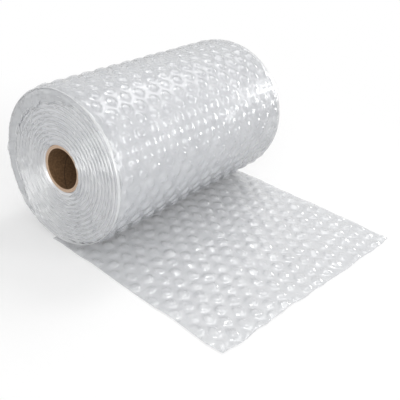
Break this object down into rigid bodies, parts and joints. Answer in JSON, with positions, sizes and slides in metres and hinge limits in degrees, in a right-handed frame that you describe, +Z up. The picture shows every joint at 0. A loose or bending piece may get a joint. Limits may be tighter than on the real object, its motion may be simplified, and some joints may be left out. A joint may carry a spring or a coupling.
{
  "type": "bubble wrap roll",
  "caption": "Roll of clear bubble cushioning film wound on a cardboard tube, lying on its side with the free end of the film pulled out flat in front of it.",
  "frame": {"origin": "on the floor, in the middle of the roll's resting spot: straight below the middle of the core's axis", "axes": "+X along the roll's axis, -Y the way the free end is pulled out, +Z up"},
  "size_m": [0.327, 0.3633, 0.1831],
  "materials": {
    "cardboard": "spiral-wound kraft cardboard, matte",
    "film": "clear polyethylene film with air bubbles, milky where many turns lie over each other, glossy"
  },
  "bodies": {
    "root": {"core_tube": "cardboard", "bubble_film": "film"}
  },
  "joints": []
}
